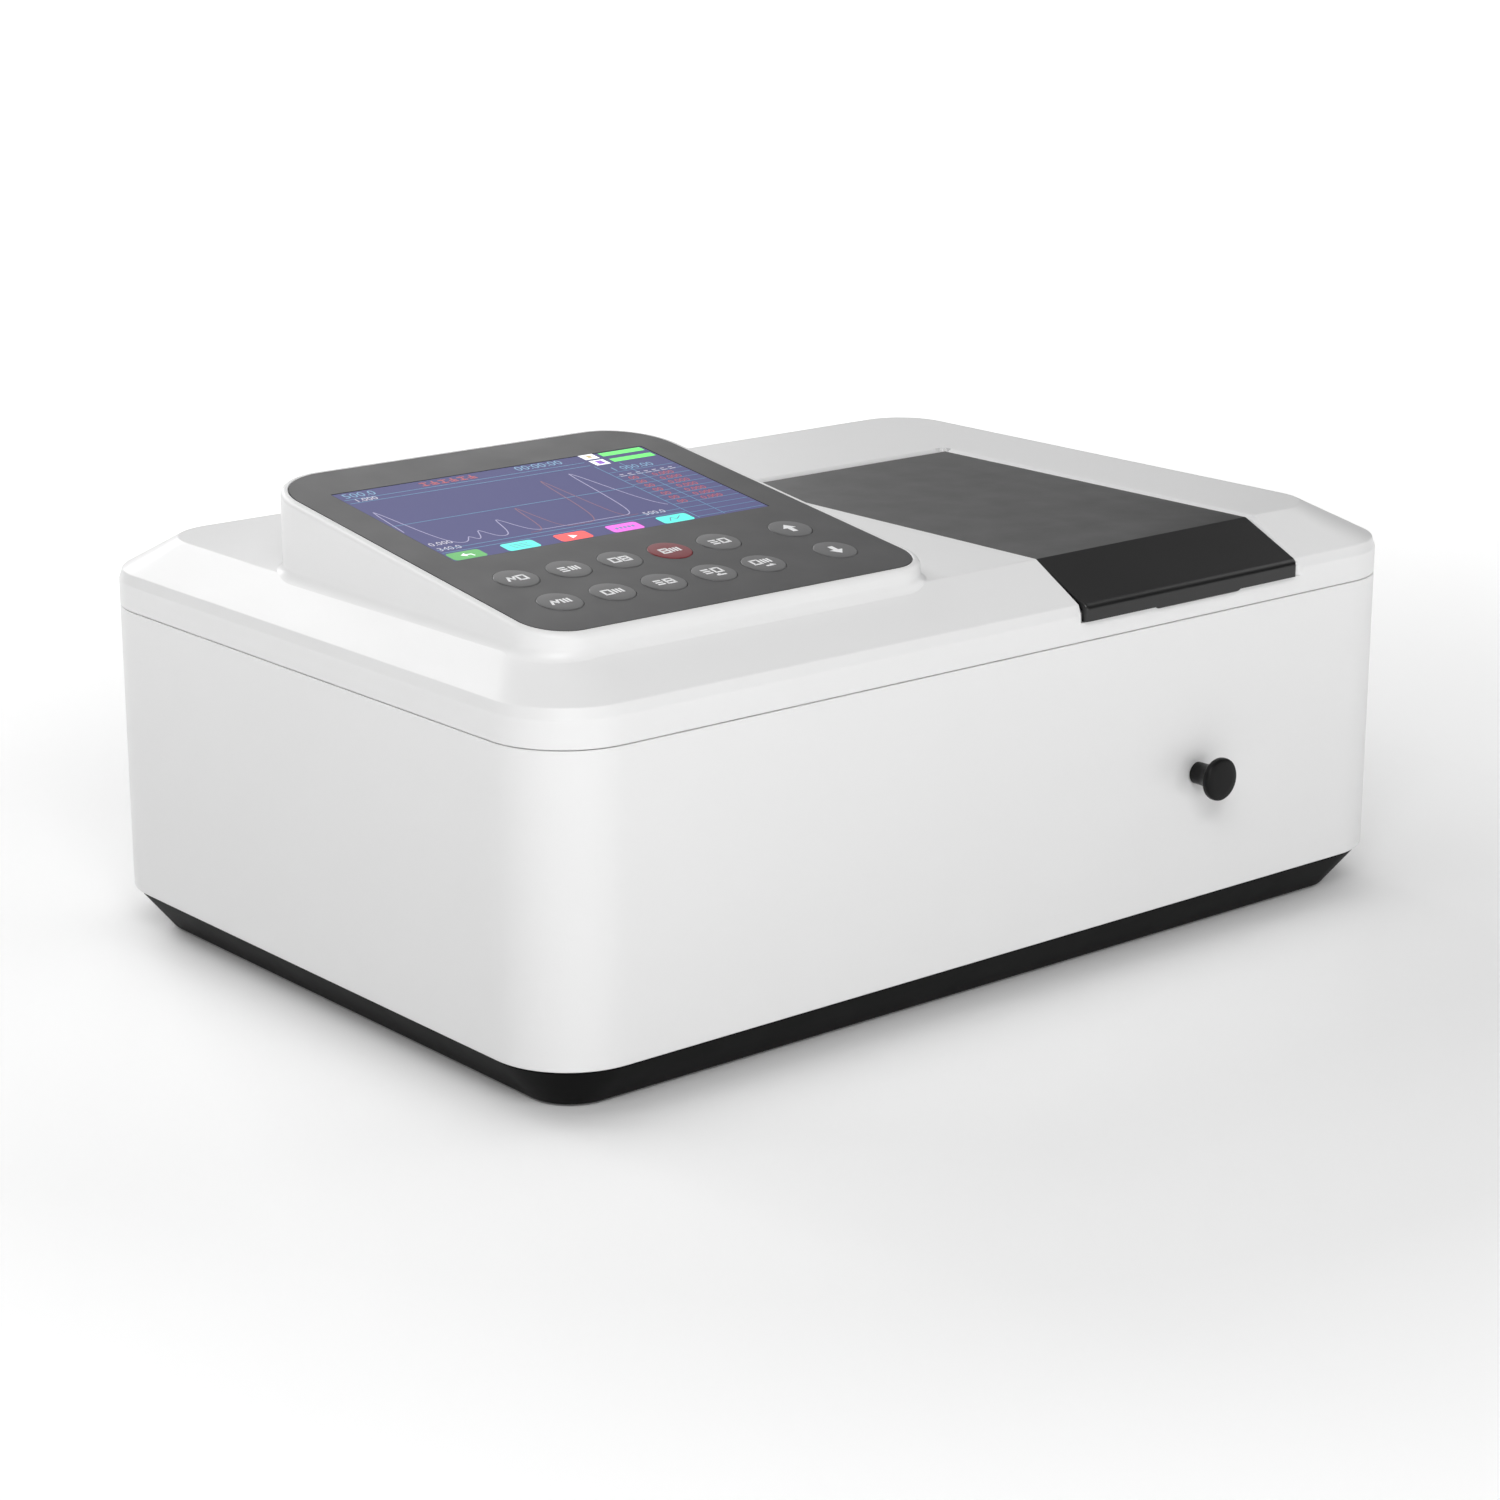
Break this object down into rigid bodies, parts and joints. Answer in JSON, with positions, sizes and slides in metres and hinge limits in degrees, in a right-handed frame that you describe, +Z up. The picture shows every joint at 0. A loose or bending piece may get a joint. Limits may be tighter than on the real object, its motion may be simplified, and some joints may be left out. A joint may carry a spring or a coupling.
{
  "type": "spectrophotometer",
  "caption": "Benchtop laboratory spectrophotometer with a sloping display console and a hinged sample lid over a pull-rod cell changer.",
  "frame": {"origin": "on the table, below the middle of the instrument's bounding box", "axes": "+X to the right along the front, -Y towards the user, +Z up"},
  "size_m": [0.46, 0.336, 0.2043],
  "materials": {
    "shell_white": "fine moulded satin",
    "plinth_black": "fine moulded satin",
    "lid_grey": "smooth gloss",
    "knob_black": "satin gloss",
    "overlay_grey": "printed polyester film",
    "key_grey": "printed polyester film",
    "key_red": "printed polyester film",
    "display": "lit display under clear glass",
    "board_green": "solder mask",
    "rubber_black": "matt rubber",
    "steel": "brushed",
    "aluminium": "machined",
    "anodised_black": "black anodised",
    "ceramic": "unglazed ceramic",
    "lamp_glass": "clear quartz",
    "mirror": "polished",
    "filter_amber": "tinted glass",
    "socket_black": "moulded",
    "nylon": "natural nylon"
  },
  "bodies": {
    "housing": {"base_plinth": "plinth_black", "console_housing": "shell_white", "console_overlay": "overlay_grey", "detector_housing": "anodised_black", "display_glass": "display", "display_module": "steel", "entrance_slit": "steel", "exit_slit": "steel", "fan_frame": "socket_black", "filter_motor": "steel", "fold_mirror": "mirror", "foot_back_left": "rubber_black", "foot_back_right": "rubber_black", "foot_front_left": "rubber_black", "foot_front_right": "rubber_black", "grating_motor": "steel", "guide_rod_left": "steel", "guide_rod_right": "steel", "halogen_lamp": "lamp_glass", "keypad_board": "board_green", "lamp_housing": "aluminium", "lamp_socket": "ceramic", "lid_gasket": "rubber_black", "lid_hinge_pin": "steel", "lower_case": "shell_white", "main_board": "board_green", "monochromator_cover": "anodised_black", "monochromator_housing": "anodised_black", "optical_bench": "aluminium", "photodetector": "board_green", "power_inlet": "socket_black", "power_supply": "aluminium", "rod_bushing": "nylon", "sample_compartment": "anodised_black", "source_mirror": "mirror", "switch_frame": "socket_black", "top_cover": "shell_white", "usb_port": "steel"},
    "lid": {"lid": "lid_grey"},
    "cell_changer": {"cell_carriage": "anodised_black", "pull_rod": "steel", "pull_knob": "knob_black"},
    "grating": {"grating_turntable": "aluminium", "diffraction_grating": "mirror"},
    "filter_wheel": {"filter_wheel": "anodised_black", "order_filter": "filter_amber"},
    "fan": {"fan_rotor": "socket_black"},
    "power_switch": {"power_rocker": "knob_black"},
    "key_down": {"key_down": "key_grey"},
    "key_lower_1": {"key_lower_1": "key_grey"},
    "key_lower_2": {"key_lower_2": "key_grey"},
    "key_lower_3": {"key_lower_3": "key_grey"},
    "key_lower_4": {"key_lower_4": "key_grey"},
    "key_lower_5": {"key_lower_5": "key_grey"},
    "key_up": {"key_up": "key_grey"},
    "key_upper_1": {"key_upper_1": "key_grey"},
    "key_upper_2": {"key_upper_2": "key_grey"},
    "key_upper_3": {"key_upper_3": "key_grey"},
    "key_upper_4": {"key_upper_4": "key_red"},
    "key_upper_5": {"key_upper_5": "key_grey"}
  },
  "joints": [
    {"name": "lid_hinge", "type": "hinge", "parent": "housing", "child": "lid", "pos_m": [0.0938, 0.0592, 0.1681], "axis": [-1, 0, 0], "range_deg": [0, 80]},
    {"name": "cell_changer_slide", "type": "slide", "parent": "housing", "child": "cell_changer", "axis": [0, -1, 0], "range_m": [0, 0.054]},
    {"name": "grating_turn", "type": "hinge", "parent": "housing", "child": "grating", "pos_m": [-0.105, -0.044, 0.07], "axis": [0, 0, 1], "range_deg": [-15, 15]},
    {"name": "filter_wheel_spin", "type": "hinge", "parent": "housing", "child": "filter_wheel", "pos_m": [-0.155, 0.021, 0.076], "axis": [1, 0, 0], "continuous": true},
    {"name": "fan_spin", "type": "hinge", "parent": "housing", "child": "fan", "pos_m": [-0.12, 0.1526, 0.082], "axis": [0, 1, 0], "continuous": true},
    {"name": "power_switch_rock", "type": "hinge", "parent": "housing", "child": "power_switch", "pos_m": [0.108, 0.1644, 0.06], "axis": [-1, 0, 0], "range_deg": [0, 16]},
    {"name": "key_down_press", "type": "slide", "parent": "housing", "child": "key_down", "axis": [0, 0.1412, -0.99], "range_m": [0, 0.00045], "stiffness_N_per_m": 1500, "springref_m": -0.0003},
    {"name": "key_lower_1_press", "type": "slide", "parent": "housing", "child": "key_lower_1", "axis": [0, 0.1412, -0.99], "range_m": [0, 0.00045], "stiffness_N_per_m": 1500, "springref_m": -0.0003},
    {"name": "key_lower_2_press", "type": "slide", "parent": "housing", "child": "key_lower_2", "axis": [0, 0.1412, -0.99], "range_m": [0, 0.00045], "stiffness_N_per_m": 1500, "springref_m": -0.0003},
    {"name": "key_lower_3_press", "type": "slide", "parent": "housing", "child": "key_lower_3", "axis": [0, 0.1412, -0.99], "range_m": [0, 0.00045], "stiffness_N_per_m": 1500, "springref_m": -0.0003},
    {"name": "key_lower_4_press", "type": "slide", "parent": "housing", "child": "key_lower_4", "axis": [0, 0.1412, -0.99], "range_m": [0, 0.00045], "stiffness_N_per_m": 1500, "springref_m": -0.0003},
    {"name": "key_lower_5_press", "type": "slide", "parent": "housing", "child": "key_lower_5", "axis": [0, 0.1412, -0.99], "range_m": [0, 0.00045], "stiffness_N_per_m": 1500, "springref_m": -0.0003},
    {"name": "key_up_press", "type": "slide", "parent": "housing", "child": "key_up", "axis": [0, 0.1412, -0.99], "range_m": [0, 0.00045], "stiffness_N_per_m": 1500, "springref_m": -0.0003},
    {"name": "key_upper_1_press", "type": "slide", "parent": "housing", "child": "key_upper_1", "axis": [0, 0.1412, -0.99], "range_m": [0, 0.00045], "stiffness_N_per_m": 1500, "springref_m": -0.0003},
    {"name": "key_upper_2_press", "type": "slide", "parent": "housing", "child": "key_upper_2", "axis": [0, 0.1412, -0.99], "range_m": [0, 0.00045], "stiffness_N_per_m": 1500, "springref_m": -0.0003},
    {"name": "key_upper_3_press", "type": "slide", "parent": "housing", "child": "key_upper_3", "axis": [0, 0.1412, -0.99], "range_m": [0, 0.00045], "stiffness_N_per_m": 1500, "springref_m": -0.0003},
    {"name": "key_upper_4_press", "type": "slide", "parent": "housing", "child": "key_upper_4", "axis": [0, 0.1412, -0.99], "range_m": [0, 0.00045], "stiffness_N_per_m": 1500, "springref_m": -0.0003},
    {"name": "key_upper_5_press", "type": "slide", "parent": "housing", "child": "key_upper_5", "axis": [0, 0.1412, -0.99], "range_m": [0, 0.00045], "stiffness_N_per_m": 1500, "springref_m": -0.0003}
  ]
}
